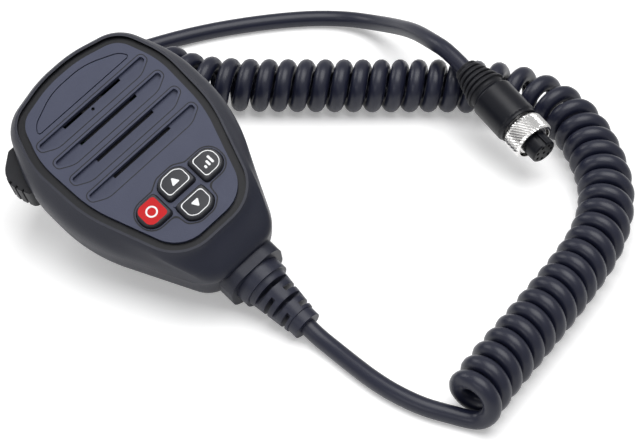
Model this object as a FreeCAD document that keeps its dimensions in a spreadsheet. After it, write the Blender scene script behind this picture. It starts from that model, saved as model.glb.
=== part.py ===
import FreeCAD, Part
import math
import os
from FreeCAD import Placement, Rotation, Vector

# Hand microphone of a marine radio, with its curly cord and round screw-on plug.
# Two placements carry everything: the tilted microphone, and the plug that lies on the cord.
# In the microphone's own axes X is its right side, Y points to its top and Z out of its face.

DIMENSIONS = {
    "mic_x": 6.18, "mic_y": 22.83, "mic_lift": 15.5, "mic_pitch": 15.7, "mic_roll": 20.6,
    "half_wide": 31.0, "top_reach": 35.5, "chin_reach": 50.4,
    "face_half_wide": 27.2, "face_top": 32.6, "face_chin": 41.9,
    "seam_height": 18.0, "face_height": 29.3, "face_thick": 2.3, "wall": 2.2,
    "panel_inset": 3.3, "lip_wide": 0.8, "channel_deep": 1.3,
    "slot_half_long": 21.2, "slot_wide": 4.2, "slot_pitch": 7.7, "slot_top": 17.6, "slot_deep": 1.3,
    "slit_half_long": 11.5, "slit_wide": 1.1,
    "plate_half_wide": 19.2, "plate_rise": 7.8, "plate_base": 20.0, "plate_thick": 0.7, "plate_gap": 0.3,
    "key_travel": 0.8, "key_proud": 1.5, "key_gap": 0.25, "key_flange": 0.9, "key_flange_low": 26.0,
    "ptt_pin_x": -26.6, "ptt_pin_rise": 2.0, "ptt_low": 11.5, "ptt_high": 27.5,
    "ptt_bottom": 9.0, "ptt_top": 19.5,
    "collar_half_wide": 10.3, "collar_end": 55.0, "boot_height": 11.2,
    "boot_root_wide": 16.4, "boot_tip_wide": 9.8, "boot_long": 22.0,
    "stud_y": 19.0, "stud_head_d": 13.6, "stud_neck_d": 9.0, "stud_head_thick": 2.8, "stud_neck_long": 4.4,
    "speaker_d": 26.0, "speaker_y": 0.4, "capsule_d": 6.0, "capsule_y": 17.8,
    "screw_d": 2.5, "screw_head_d": 4.6, "screw_long": 15.0,
    "wire_d": 5.6, "curl_radius": 6.3, "curl_pitch": 6.15, "curl_slack": 1.035,
    "plug_d": 15.0, "nut_d": 14.6, "nut_long": 7.0, "thread_d": 12.0, "barrel_d": 10.6, "insert_d": 8.8,
}

# Route of the straight lead, from near the strain relief's tip to near the coil, in millimetres.
LEAD_ROUTE = [
    (2.2, -65.7, 2.8), (1.7, -73.7, 2.8), (1.4, -81.7, 2.8), (1.9, -90.2, 2.8),
]
# Middle line of the coil, from its end near the lead to its end under the microphone.
COIL_ROUTE = [
    (9.5, -112.0, 9.1), (19.4, -109.4, 9.1), (42.9, -105.9, 9.1), (66.9, -101.9, 9.1),
    (88.9, -96.9, 9.1), (106.9, -86.9, 9.1), (119.9, -71.4, 9.1), (128.9, -53.4, 9.1),
    (127.9, -33.4, 9.1), (114.9, -16.4, 9.1), (96.9, 2.1, 9.1), (77.9, 22.1, 9.1), (61.9, 39.1, 9.1),
    (53.4, 51.6, 9.1), (50.9, 66.6, 9.1), (39.9, 75.6, 9.1), (28.4, 70.6, 9.1), (25.9, 57.6, 9.1),
    (27.4, 44.6, 9.1), (24.4, 33.6, 9.1), (17.4, 25.1, 9.1),
]
# Route of the straight tail, from near the coil's hidden end to near the plug.
TAIL_ROUTE = [
    (4.9, 33.6, 2.8), (-3.6, 42.1, 2.8), (-7.6, 53.6, 2.8), (-5.2, 64.8, 2.8), (3.3, 74.6, 2.8),
    (14.1, 82.0, 2.8), (27.9, 87.1, 2.8), (43.9, 86.1, 2.8), (60.9, 81.6, 2.8), (79.9, 73.6, 2.8),
    (97.4, 63.1, 2.8), (111.9, 52.1, 2.8), (120.9, 41.6, 3.2), (123.4, 30.6, 6.0), (121.4, 18.6, 12.0),
    (116.9, 5.6, 19.5), (112.2, -7.4, 24.2),
]
PLUG_START = (109.8, -23.3, 23.0)
PLUG_END = (102.7, -64.2, 15.0)

doc = FreeCAD.newDocument("hand_microphone")
sheet = doc.addObject("Spreadsheet::Sheet", "dims")
for row, (alias, number) in enumerate(DIMENSIONS.items(), start=1):
    sheet.set("A%d" % row, alias)
    sheet.set("B%d" % row, repr(number))
    sheet.setAlias("B%d" % row, alias)
doc.recompute()

parts = []


def dim(alias):
    """Value of one named dimension."""
    return float(sheet.get(alias))


def new_body(label):
    """A new sub-part that is built from sketches."""
    body = doc.addObject("PartDesign::Body", label)
    body.Label = label
    parts.append(body)
    return body


def new_solid(label, shape):
    """A new sub-part whose shape comes from wires and sweeps."""
    solid = doc.addObject("Part::Feature", label)
    solid.Label = label
    solid.Shape = shape
    parts.append(solid)
    return solid


def sketch_on(body, edges, height=0.0, role="XY_Plane"):
    """A sketch on one of the body's own planes, lifted by height, holding the given curves."""
    plane = [f for f in body.Origin.OriginFeatures if f.Role == role][0]
    sketch = body.newObject("Sketcher::SketchObject", body.Name + "_sketch")
    sketch.AttachmentSupport = (plane, [""])
    sketch.MapMode = "FlatFace"
    sketch.AttachmentOffset = Placement(Vector(0, 0, height), Rotation())
    sketch.addGeometry(edges, False)
    return sketch


def extrude(body, kind, edges, height, length, reverse=False):
    """Pad or pocket of a sketch; length is a number or an expression on the sheet."""
    sketch = sketch_on(body, edges, height)
    feature = body.newObject("PartDesign::" + kind, body.Name + "_" + kind.lower())
    feature.Profile = sketch
    feature.Reversed = reverse
    if isinstance(length, str):
        feature.setExpression("Length", length)
    else:
        feature.Length = length
    body.Tip = feature
    return feature


def loft(body, kind, sections):
    """Smooth loft through outlines; each section is a height and its curves."""
    sketches = [sketch_on(body, edges, height) for height, edges in sections]
    feature = body.newObject("PartDesign::" + kind, body.Name + "_loft")
    feature.Profile = sketches[0]
    feature.Sections = sketches[1:]
    feature.Ruled = False
    body.Tip = feature
    return feature


def turned(body, kind, edges):
    """Revolution or groove of a half profile about the body's Z axis."""
    sketch = sketch_on(body, edges, 0.0, "XZ_Plane")
    feature = body.newObject("PartDesign::" + kind, body.Name + "_turned")
    feature.Profile = sketch
    feature.ReferenceAxis = (sketch, ["V_Axis"])
    feature.Angle = 360.0
    body.Tip = feature
    return feature


def ring(x, y, radius):
    """A circle as sketch geometry."""
    return Part.Circle(Vector(x, y, 0), Vector(0, 0, 1), radius)


def polygon(points):
    """Straight closed outline as sketch geometry."""
    corners = [Vector(x, y, 0) for x, y in points]
    return [Part.LineSegment(a, b) for a, b in zip(corners, corners[1:] + corners[:1])]


def box_outline(x_low, x_high, y_low, y_high):
    """Rectangle as sketch geometry."""
    return polygon([(x_low, y_low), (x_high, y_low), (x_high, y_high), (x_low, y_high)])


def inset_corners(corners, inset):
    """Corners (x, y, radius) of a counter-clockwise outline, moved inwards by the inset."""
    moved = []
    count = len(corners)
    for i in range(count):
        before = Vector(*corners[i - 1][:2], 0)
        here = Vector(*corners[i][:2], 0)
        after = Vector(*corners[(i + 1) % count][:2], 0)
        come = (here - before).normalize()
        leave = (after - here).normalize()
        inward = Vector(-come.y - leave.y, come.x + leave.x, 0)
        inward.normalize()
        reach = inset / inward.dot(Vector(-come.y, come.x, 0))
        spot = here + inward * reach
        moved.append((spot.x, spot.y, max(corners[i][2] - inset, 0.3)))
    return moved


def rounded(corners, inset=0.0):
    """Closed outline of straight runs and tangent arcs through rounded corners."""
    corners = inset_corners(corners, inset)
    count = len(corners)
    ends = []
    for i in range(count):
        here = Vector(*corners[i][:2], 0)
        come = (here - Vector(*corners[i - 1][:2], 0)).normalize()
        leave = (Vector(*corners[(i + 1) % count][:2], 0) - here).normalize()
        turn = come.getAngle(leave)
        cut = corners[i][2] * math.tan(turn / 2)
        start = here - come * cut
        end = here + leave * cut
        middle = here + (leave - come).normalize() * (corners[i][2] / math.cos(turn / 2) - corners[i][2])
        ends.append((start, middle, end))
    edges = []
    for i, (start, middle, end) in enumerate(ends):
        edges.append(Part.Arc(start, middle, end))
        follow = ends[(i + 1) % count][0]
        if end.distanceToPoint(follow) > 1e-4:
            edges.append(Part.LineSegment(end, follow))
    return edges


def mirrored(right_side):
    """Closed counter-clockwise corner list from the corners of the right half, bottom to top."""
    return right_side + [(-x, y, r) for x, y, r in reversed(right_side)]


def seam_corners():
    """Outline of the casing at the seam between its two shells."""
    wide = dim("half_wide")
    return mirrored([
        (0.43 * wide, -dim("chin_reach"), 11.0), (1.025 * wide, -12.0, 55.0),
        (1.03 * wide, 13.0, 34.0), (0.765 * wide, 0.93 * dim("top_reach"), 14.0),
        (0.2 * wide, dim("top_reach") + 0.9, 40.0),
    ])


def face_corners():
    """Outline of the lip round the face."""
    wide = dim("face_half_wide")
    return mirrored([
        (0.56 * wide, -dim("face_chin"), 15.0), (0.98 * wide, -9.6, 48.0),
        (1.02 * wide, 13.5, 33.0), (0.82 * wide, 0.91 * dim("face_top"), 11.3),
        (0.236 * wide, dim("face_top") + 1.3, 39.0),
    ])


def mic_place(x=0.0, y=0.0, z=0.0, turn=None):
    """Placement of a point in the microphone's own axes."""
    base = Vector(dim("mic_x"), dim("mic_y"), dim("mic_lift"))
    pitch = Rotation(Vector(1, 0, 0), dim("mic_pitch"))
    roll = Rotation(Vector(0, 1, 0), -dim("mic_roll"))
    local = Placement(Vector(x, y, z), turn or Rotation())
    return Placement(base, pitch.multiply(roll)).multiply(local)


def slot_tops():
    """Heights on the face of the four slots' straight upper edges."""
    return [dim("slot_top") - i * dim("slot_pitch") for i in range(4)]


def slot_outline(top, grow=0.0):
    """Leaf-shaped slot: straight upper edge, lower edge drawn in at both ends."""
    reach = dim("slot_half_long") + grow
    low = top - dim("slot_wide") - grow
    return rounded([
        (-0.8 * reach, low, 6.0), (0.8 * reach, low, 6.0),
        (reach, top - 0.45 * dim("slot_wide"), 0.8), (reach, top + grow, 0.8),
        (-reach, top + grow, 0.8), (-reach, top - 0.45 * dim("slot_wide"), 0.8),
    ])


def plate_outline(inset):
    """Name plate: a bow over a straight base, with soft tips."""
    half = dim("plate_half_wide")
    base = dim("plate_base")
    rise = dim("plate_rise")
    return rounded([
        (half, base, 0.9), (0.9 * half, base + 0.45 * rise, 6.0),
        (0.35 * half, base + 1.06 * rise, 22.0), (-0.35 * half, base + 1.06 * rise, 22.0),
        (-0.9 * half, base + 0.45 * rise, 6.0), (-half, base, 0.9),
    ], inset)


# Each key: its middle, and its corners about it. Outer sides are round and inner sides straight.
KEY_MIDDLES = {
    "key_up": (0.0, -21.2), "key_down": (0.0, -31.0),
    "key_power": (11.4, -23.6), "key_channel": (-11.4, -23.6),
}


def key_corners(name):
    """Corners of one key in the face's own axes."""
    x, y = KEY_MIDDLES[name]
    if name == "key_up":
        shape = [
            (-5.4, -3.9, 1.2), (5.4, -3.9, 1.2), (5.4, 2.2, 3.0), (2.6, 4.3, 4.0), (-2.6, 4.3, 4.0),
            (-5.4, 2.2, 3.0),
        ]
    elif name == "key_down":
        shape = [
            (-2.6, -4.3, 4.0), (2.6, -4.3, 4.0), (5.4, -2.2, 3.0), (5.4, 3.9, 1.2), (-5.4, 3.9, 1.2),
            (-5.4, -2.2, 3.0),
        ]
    else:
        side = 1.0 if name == "key_power" else -1.0
        shape = [
            (-4.6 * side, -4.6, 1.3), (4.6 * side, -4.6, 4.2), (4.6 * side, 4.6, 4.2), (-4.6 * side, 4.6, 1.3),
        ]
        if side < 0:
            shape.reverse()
    return [(x + cx, y + cy, r) for cx, cy, r in shape]


SCREW_SPOTS = [(-19.5, 24.0), (19.5, 24.0), (-9.6, -40.0), (9.6, -40.0)]
BOARD_POSTS = [(-14.0, 8.0), (14.0, 8.0), (-9.0, -27.0), (9.0, -27.0)]


def build_front_shell():
    """Front shell: domed rim, recessed channel round the face panel, slots and key windows."""
    body = new_body("front_shell")
    seam = dim("seam_height")
    face = dim("face_height")
    inner = face - dim("face_thick")
    loft(body, "AdditiveLoft", [
        (seam, rounded(seam_corners())), (seam + 0.5 * (face - seam), rounded(seam_corners(), 0.7)),
        (face - 1.2, rounded(face_corners(), -0.9)), (face, rounded(face_corners())),
    ])
    loft(body, "SubtractiveLoft", [
        (seam - 0.01, rounded(seam_corners(), dim("wall"))),
        (seam + 0.6 * (inner - seam), rounded(seam_corners(), dim("wall") + 1.2)),
        (inner, rounded(face_corners(), dim("wall"))),
    ])
    channel = rounded(face_corners(), dim("lip_wide")) + rounded(face_corners(), dim("panel_inset"))
    extrude(body, "Pocket", channel, face, "dims.channel_deep")
    for top in slot_tops():
        extrude(body, "Pocket", slot_outline(top), face, "dims.slot_deep")
    slits = []
    for top in slot_tops():
        half = dim("slit_half_long")
        slits += box_outline(-half, half, top - dim("slit_wide"), top - 0.05)
    extrude(body, "Pocket", slits + [ring(-0.9, 15.4, 0.55)], face, 4.0)
    extrude(body, "Pocket", plate_outline(0.0), face, "dims.plate_thick")
    windows = []
    for name in KEY_MIDDLES:
        windows += rounded(key_corners(name), -dim("key_gap"))
    extrude(body, "Pocket", windows, face, 4.0)
    extrude(body, "Pad", [ring(x, y, 2.9) for x, y in SCREW_SPOTS[:2]], seam + 0.5, inner - seam)
    extrude(body, "Pad", [ring(x, y, 2.9) for x, y in SCREW_SPOTS[2:]], seam + 0.5, 7.5)
    thread = dim("screw_d") / 2 + 0.02
    extrude(body, "Pocket", [ring(x, y, thread) for x, y in SCREW_SPOTS], seam + 0.5, 4.0, True)
    window = box_outline(-40.0, -22.0, dim("ptt_low") - 1.2, dim("ptt_high") + 1.0)
    extrude(body, "Pocket", window, dim("ptt_top") + 0.8, dim("ptt_top") + 0.8 - seam + 0.5)
    mouth = body.newObject("PartDesign::Pocket", "front_shell_mouth")
    mouth.Profile = sketch_on(body, collar_section(-0.05), dim("collar_end") + 1.0, "XZ_Plane")
    mouth.Length = 16.0
    body.Tip = mouth
    return body


def pin_circle(radius):
    """Circle about the talk bar's pin."""
    return ring(dim("ptt_pin_x"), dim("ptt_low") + dim("ptt_pin_rise"), radius)


def collar_section(inset):
    """Upright outline of the cable collar, in its own X and Z."""
    half = dim("collar_half_wide")
    return rounded([(-half, 1.6, 6.5), (half, 1.6, 6.5), (half, 20.4, 6.5), (-half, 20.4, 6.5)], inset)


def build_rear_shell():
    """Rear shell: rounded back, hanger boss, screw wells and the collar round the cable's exit."""
    body = new_body("rear_shell")
    seam = dim("seam_height")
    wall = dim("wall")
    loft(body, "AdditiveLoft", [
        (seam - 0.05, rounded(seam_corners())), (7.0, rounded(seam_corners(), 1.0)),
        (1.8, rounded(seam_corners(), 3.6)), (0.0, rounded(seam_corners(), 7.5)),
    ])
    sketch = sketch_on(body, collar_section(0.0), dim("collar_end"), "XZ_Plane")
    collar = body.newObject("PartDesign::Pad", "rear_shell_collar")
    collar.Profile = sketch
    collar.Length = 14.0
    collar.Reversed = True
    body.Tip = collar
    loft(body, "SubtractiveLoft", [
        (seam, rounded(seam_corners(), wall)), (7.0, rounded(seam_corners(), wall + 1.2)),
        (wall, rounded(seam_corners(), wall + 5.0)),
    ])
    mouth = sketch_on(body, [ring(0, dim("boot_height"), dim("boot_root_wide") / 2 + 0.05)],
                      dim("collar_end") + 1.0, "XZ_Plane")
    bore = body.newObject("PartDesign::Pocket", "rear_shell_bore")
    bore.Profile = mouth
    bore.Length = 12.0
    body.Tip = bore
    extrude(body, "Pad", [ring(x, y, 3.4) for x, y in SCREW_SPOTS], 3.0, seam - 3.1)
    extrude(body, "Pad", [ring(x, y, 2.0) for x, y in BOARD_POSTS], 1.5, 13.1)
    extrude(body, "Pad", [ring(0, dim("stud_y"), 3.4)], 1.5, 5.0)
    head = dim("screw_head_d") / 2 + 0.15
    shank = dim("screw_d") / 2 + 0.15
    extrude(body, "Pocket", [ring(x, y, head) for x, y in SCREW_SPOTS], 0.0, 6.0, True)
    extrude(body, "Pocket", [ring(x, y, shank) for x, y in SCREW_SPOTS], 0.0, seam + 1.0, True)
    extrude(body, "Pocket", [ring(0, dim("stud_y"), dim("screw_d") / 2 + 0.02)], 0.0, 5.5, True)
    extrude(body, "Pocket", rounded(seam_corners(), 0.65) + rounded(seam_corners(), 1.55), seam - 0.05, 0.8)
    window = box_outline(-40.0, -22.0, dim("ptt_low") - 1.2, dim("ptt_high") + 1.0)
    extrude(body, "Pocket", window, seam + 0.5, seam + 0.5 - dim("ptt_bottom") + 0.8)
    extrude(body, "Pocket", [pin_circle(0.8)], dim("ptt_bottom"), 1.5)
    return body


def place_on_mic(body, x=0.0, y=0.0, z=0.0, turn=None):
    """Set a sub-part on the microphone."""
    body.Placement = mic_place(x, y, z, turn)
    return body


def disc(label, x, y, low, high, radius, hole=0.0):
    """Round or ring-shaped sub-part standing square to the face."""
    body = new_body(label)
    edges = [ring(0, 0, radius)]
    if hole:
        edges.append(ring(0, 0, hole))
    extrude(body, "Pad", edges, 0.0, high - low)
    return place_on_mic(body, x, y, low)


def build_face_pieces():
    """Name plate, keys with their flanges, and the mat and domes below them."""
    face = dim("face_height")
    plate = new_body("name_plate")
    extrude(plate, "Pad", plate_outline(dim("plate_gap")), face - dim("plate_thick"), "dims.plate_thick")
    place_on_mic(plate)
    low = dim("key_flange_low")
    for name in KEY_MIDDLES:
        key = new_body(name)
        extrude(key, "Pad", rounded(key_corners(name)), low, face + dim("key_proud") - low)
        extrude(key, "Pad", rounded(key_corners(name), -0.35), low, "dims.key_flange")
        place_on_mic(key)
    mat = new_body("key_mat")
    sheet = [(-12.0, -36.5, 3.0), (12.0, -36.5, 3.0), (17.5, -15.5, 3.0), (-17.5, -15.5, 3.0)]
    extrude(mat, "Pad", rounded(sheet), 23.4, 0.8)
    place_on_mic(mat)
    domes = new_body("dome_switches")
    extrude(domes, "Pad", [ring(x, y, 2.4) for x, y in KEY_MIDDLES.values()], 24.2, 0.9)
    place_on_mic(domes)
    board = new_body("key_board")
    sheet = [(-11.5, -36.5, 3.0), (11.5, -36.5, 3.0), (17.0, -15.8, 2.0), (-17.0, -15.8, 2.0)]
    extrude(board, "Pad", rounded(sheet), 22.2, 1.2)
    place_on_mic(board)


def build_sound_pieces():
    """Loudspeaker, its gasket and cloth, and the microphone capsule in its rubber boot."""
    inner = dim("face_height") - dim("face_thick")
    x, y = 0.0, dim("speaker_y")
    radius = dim("speaker_d") / 2
    disc("speaker_cloth", x, y, inner - 0.3, inner, radius)
    disc("speaker_gasket", x, y, inner - 1.3, inner - 0.3, radius, radius - 1.6)
    frame = new_body("speaker_frame")
    turned(frame, "Revolution", polygon([
        (radius, 0.0), (radius, -1.0), (radius - 2.4, -1.2), (8.6, -4.6), (4.0, -4.6), (4.0, -4.0),
        (8.2, -4.0), (radius - 2.8, -0.8), (radius - 2.2, 0.0)]))
    place_on_mic(frame, x, y, inner - 1.3)
    cone = new_body("speaker_cone")
    turned(cone, "Revolution", polygon([
        (0.0, -2.6), (3.4, -2.8), (radius - 3.2, -0.4), (radius - 2.5, -0.4), (radius - 3.0, -0.1),
        (3.4, -2.5), (0.0, -2.2)]))
    place_on_mic(cone, x, y, inner - 1.3)
    magnet = new_body("speaker_magnet")
    turned(magnet, "Revolution", polygon([(0.0, -4.6), (7.6, -4.6), (7.6, -8.3), (0.0, -8.3)]))
    place_on_mic(magnet, x, y, inner - 1.3)
    capsule_y = dim("capsule_y")
    disc("mic_capsule", 0.0, capsule_y, inner - 2.7, inner, dim("capsule_d") / 2)
    capsule_r = dim("capsule_d") / 2
    disc("capsule_boot", 0.0, capsule_y, inner - 3.2, inner, capsule_r + 1.1, capsule_r)


def build_inner_pieces():
    """Circuit board, seal, cable clamp, switch and the fasteners."""
    board = new_body("circuit_board")
    extrude(board, "Pad", rounded(seam_corners(), 7.6) + [ring(0, dim("speaker_y"), 8.2)], 14.6, 1.6)
    extrude(board, "Pocket", [ring(x, y, 3.9) for x, y in SCREW_SPOTS], 17.0, 4.0)
    extrude(board, "Pocket", box_outline(-30.0, -21.5, 6.0, 30.0), 17.0, 4.0)
    extrude(board, "Pocket", box_outline(-14.0, 14.0, -50.0, -34.0), 17.0, 4.0)
    place_on_mic(board)
    link = new_body("board_header")
    extrude(link, "Pad", box_outline(-6.5, 6.5, -19.8, -17.2), 16.2, 6.0)
    place_on_mic(link)
    seal = new_body("housing_seal")
    strip = rounded(seam_corners(), 0.7) + rounded(seam_corners(), 1.5)
    extrude(seal, "Pad", strip, dim("seam_height") - 0.85, 0.85)
    talk_gap = box_outline(-40.0, -22.0, dim("ptt_low") - 1.2, dim("ptt_high") + 1.0)
    extrude(seal, "Pocket", talk_gap + box_outline(-10.6, 10.6, -56.0, -44.0), 19.0, 3.0)
    place_on_mic(seal)
    clamp = new_body("cable_clamp")
    hole = dim("boot_height")
    section = rounded([(-5.8, 7.2, 0.8), (5.8, 7.2, 0.8), (5.8, 15.2, 1.5), (-5.8, 15.2, 1.5)])
    saddle = clamp.newObject("PartDesign::Pad", "cable_clamp_pad")
    saddle.Profile = sketch_on(clamp, section + [ring(0, hole, dim("wire_d") / 2)], 0.0, "XZ_Plane")
    saddle.Length = 4.0
    clamp.Tip = saddle
    place_on_mic(clamp, 0.0, -38.0, 0.0)


def build_hanger():
    """Hanger stud on the back and the screw that holds it."""
    neck = dim("stud_neck_d") / 2
    head = dim("stud_head_d") / 2
    root = 1.2
    long = dim("stud_neck_long")
    thick = dim("stud_head_thick")
    bore = dim("screw_d") / 2 + 0.05
    stud = new_body("hanger_stud")
    turned(stud, "Revolution", polygon([
        (bore, 0.0), (neck + root, 0.0), (neck, -root), (neck, -long), (head - 0.8, -long),
        (head, -long - 0.8), (head, -long - thick + 0.8), (head - 0.8, -long - thick),
        (3.4, -long - thick), (3.4, -long - thick + 1.6), (bore, -long - thick + 1.6)]))
    place_on_mic(stud, 0.0, dim("stud_y"), 0.0)
    screw = new_body("hanger_screw")
    low = -long - thick + 0.1
    turned(screw, "Revolution", polygon([
        (0.0, low), (3.0, low), (3.2, low + 0.4), (3.2, low + 1.5), (dim("screw_d") / 2, low + 1.5),
        (dim("screw_d") / 2, 4.4), (0.0, 4.8)]))
    place_on_mic(screw, 0.0, dim("stud_y"), 0.0)


def build_shell_screws():
    """Four identical screws from the back, as one group of separate solids."""
    half = dim("screw_d") / 2
    head = dim("screw_head_d") / 2
    solids = []
    for x, y in SCREW_SPOTS:
        shank = Part.makeCylinder(half, dim("screw_long"), Vector(x, y, 6.0))
        cap = Part.makeCylinder(head, 2.0, Vector(x, y, 4.0))
        socket = Part.makeBox(2 * head - 1.2, 0.7, 1.0, Vector(x - head + 0.6, y - 0.35, 4.0))
        cross = Part.makeBox(0.7, 2 * head - 1.2, 1.0, Vector(x - 0.35, y - head + 0.6, 4.0))
        solids.append(shank.fuse(cap).cut(socket).cut(cross).removeSplitter())
    group = new_solid("shell_screws", Part.Compound(solids))
    group.Placement = mic_place()


def build_ptt():
    """Push-to-talk bar with grip ribs, the pin it turns on and its switch."""
    low = dim("ptt_low")
    high = dim("ptt_high")
    bottom = dim("ptt_bottom")
    tall = dim("ptt_top") - bottom
    outline = rounded([
        (-24.2, low, 0.8), (-23.6, high - 3.0, 0.8), (-24.0, high, 0.8), (-27.6, high, 1.2),
        (-33.8, high - 5.0, 9.0), (-34.6, low + 6.5, 9.0), (-32.2, low, 2.0)])
    bar = new_body("ptt_button")
    extrude(bar, "Pad", outline, bottom, tall)
    grooves = []
    for i in range(5):
        y = low + 2.4 + 2.4 * i
        grooves += box_outline(-38.0, -33.4 + 0.3 * abs(i - 2.0) ** 1.6, y, y + 0.8)
    extrude(bar, "Pocket", grooves, bottom + tall, tall)
    extrude(bar, "Pocket", [pin_circle(0.85)], bottom + tall, tall)
    place_on_mic(bar)
    disc("ptt_pin", dim("ptt_pin_x"), low + dim("ptt_pin_rise"), bottom - 1.5, bottom + tall + 0.8, 0.8)
    switch = new_body("ptt_switch")
    extrude(switch, "Pad", box_outline(-21.4, -17.4, 13.6, 19.6), 12.6, 2.0)
    place_on_mic(switch)


def build_boot():
    """Rubber strain relief: flange in the collar, tapering body with slots on alternate sides."""
    root = dim("boot_root_wide") / 2
    tip = dim("boot_tip_wide") / 2
    long = dim("boot_long")
    wire = dim("wire_d") / 2
    body = new_body("strain_relief")
    turned(body, "Revolution", polygon([
        (wire, -6.0), (root, -6.0), (root, 4.2), (root - 1.0, 4.2), (root - 1.3, 5.4),
        (tip + 0.4, long - 3.4), (tip, long - 3.4), (tip, long), (wire, long)]))
    sketches = []
    for level in range(4):
        low = 6.2 + 3.3 * level
        sides = (-1, 1) if level % 2 else (0,)
        for side in sides:
            if side:
                sketches.append((low, box_outline(side * 2.2, side * 12.0, -12.0, 12.0)))
            else:
                sketches.append((low, box_outline(-12.0, 12.0, 1.8, 12.0)))
                sketches.append((low, box_outline(-12.0, 12.0, -12.0, -1.8)))
    for low, edges in sketches:
        extrude(body, "Pocket", edges, low, 1.5, True)
    place_on_mic(body, 0.0, -dim("collar_end"), dim("boot_height"), Rotation(Vector(1, 0, 0), 90))
    cable = new_body("cable_core")
    extrude(cable, "Pad", [ring(0, 0, wire)], 0.0, dim("boot_long") + 18.0)
    place_on_mic(cable, 0.0, -dim("collar_end") + 18.0, dim("boot_height"), Rotation(Vector(1, 0, 0), 90))


def arc_between(start, tangent, end):
    """Arc from start, leaving along the tangent, to end."""
    chord = end - start
    angle = tangent.getAngle(chord)
    along = chord * (1.0 / chord.Length)
    side = tangent - along * tangent.dot(along)
    side.normalize()
    middle = (start + end) * 0.5 + side * (0.5 * chord.Length * math.tan(angle / 2))
    return Part.Arc(start, middle, end).toShape()


def biarc(start, start_way, end, end_way):
    """Two tangent arcs between two points with their directions."""
    span = end - start
    both = start_way + end_way
    spread = 2.0 * (1.0 - start_way.dot(end_way))
    reach = (-span.dot(both) + math.sqrt(span.dot(both) ** 2 + spread * span.dot(span))) / spread
    knee = (start + start_way * reach + end - end_way * reach) * 0.5
    first = arc_between(start, start_way, knee)
    way = (end - end_way * reach) - (start + start_way * reach)
    way.normalize()
    return [first, arc_between(knee, way, end)]


def tube(wire_edges, radius, start, way):
    """Round tube swept along joined edges."""
    spine = Part.Wire(wire_edges)
    section = Part.Wire([Part.Circle(start, way, radius).toShape()])
    sweep = Part.BRepOffsetAPI.MakePipeShell(spine)
    sweep.add(section)
    sweep.build()
    sweep.makeSolid()
    shape = sweep.shape()
    solid = Part.Solid(shape) if shape.ShapeType != "Solid" else shape
    if solid.Volume < 0:
        solid.reverse()
    return solid, spine.Length


def tube_along(label, points):
    """Cord tube of straight runs and tangent arcs, as large as their runs allow."""
    spots = [Vector(*p) for p in points]
    edges = []
    radii = []
    last = spots[0]
    for before, here, after in zip(spots, spots[1:], spots[2:]):
        come = here - before
        leave = after - here
        shorter = min(come.Length, leave.Length)
        turn = come.getAngle(leave)
        cut = 0.45 * shorter
        radii.append(cut / math.tan(turn / 2))
        start = here - come.normalize() * cut
        end = here + leave.normalize() * cut
        edges.append(Part.LineSegment(last, start).toShape())
        edges.append(arc_between(start, come, end))
        last = end
    edges.append(Part.LineSegment(last, spots[-1]).toShape())
    radius = dim("wire_d") / 2
    solid, length = tube(edges, radius, spots[0], spots[1] - spots[0])
    ratio = solid.Volume / (math.pi * radius ** 2 * length)
    print(label, "length %.1f" % length, "least radius %.1f" % min(radii), "volume ratio %.3f" % ratio)
    return new_solid(label, solid)


def coil_axis():
    """Middle line of the coil as one smooth curve over its hand-chosen points."""
    poles = [Vector(*p) for p in COIL_ROUTE]
    spans = len(poles) - 2
    curve = Part.BSplineCurve()
    knots = [float(i) for i in range(spans + 1)]
    curve.buildFromPolesMultsKnots(poles, [3] + [1] * (spans - 1) + [3], knots, False, 2)
    return curve


def coil_steps(curve):
    """Half-turn points of the curls with their directions along the wire."""
    radius = dim("curl_radius")
    pitch = dim("curl_pitch") * dim("curl_slack")
    fine = 4000
    first, final = curve.FirstParameter, curve.LastParameter
    angles = [0.0]
    for i in range(fine):
        u = first + (final - first) * (i + 0.5) / fine
        step = (final - first) / fine * curve.getD1(u)[1].Length
        bend = abs(curve.curvature(u))
        angles.append(angles[-1] + 2 * math.pi * step * (1.0 - radius * bend) / pitch)
    turns = round(angles[-1] / (2 * math.pi))
    scale = 2 * math.pi * turns / angles[-1]

    def spot(angle):
        """Point on the helix at an angle from its start."""
        target = min(max(angle / scale, 0.0), angles[-1])
        low, high = 0, fine
        while high - low > 1:
            mid = (low + high) // 2
            if angles[mid] > target:
                high = mid
            else:
                low = mid
        share = (target - angles[low]) / (angles[high] - angles[low])
        u = first + (final - first) * (low + share) / fine
        middle = curve.value(u)
        ahead = curve.tangent(u)[0]
        right = ahead.cross(Vector(0, 0, 1))
        return middle + right * (radius * math.sin(angle)) - Vector(0, 0, 1) * (radius * math.cos(angle))

    steps = []
    nudge = 0.01
    for i in range(2 * turns + 1):
        angle = math.pi * i
        before = max(angle - nudge, 0.0)
        after = min(angle + nudge, 2 * math.pi * turns)
        steps.append((spot(angle), (spot(after) - spot(before)).normalize()))
    return steps, turns


def least_gap(edges, diameter):
    """Least gap between turns, on points taken along the wire."""
    points = []
    for edge in edges:
        points += edge.discretize(8)[:-1]
    least = 1e9
    for i, a in enumerate(points):
        for b in points[i + 12:i + 60]:
            least = min(least, a.distanceToPoint(b))
    return least - diameter


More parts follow.
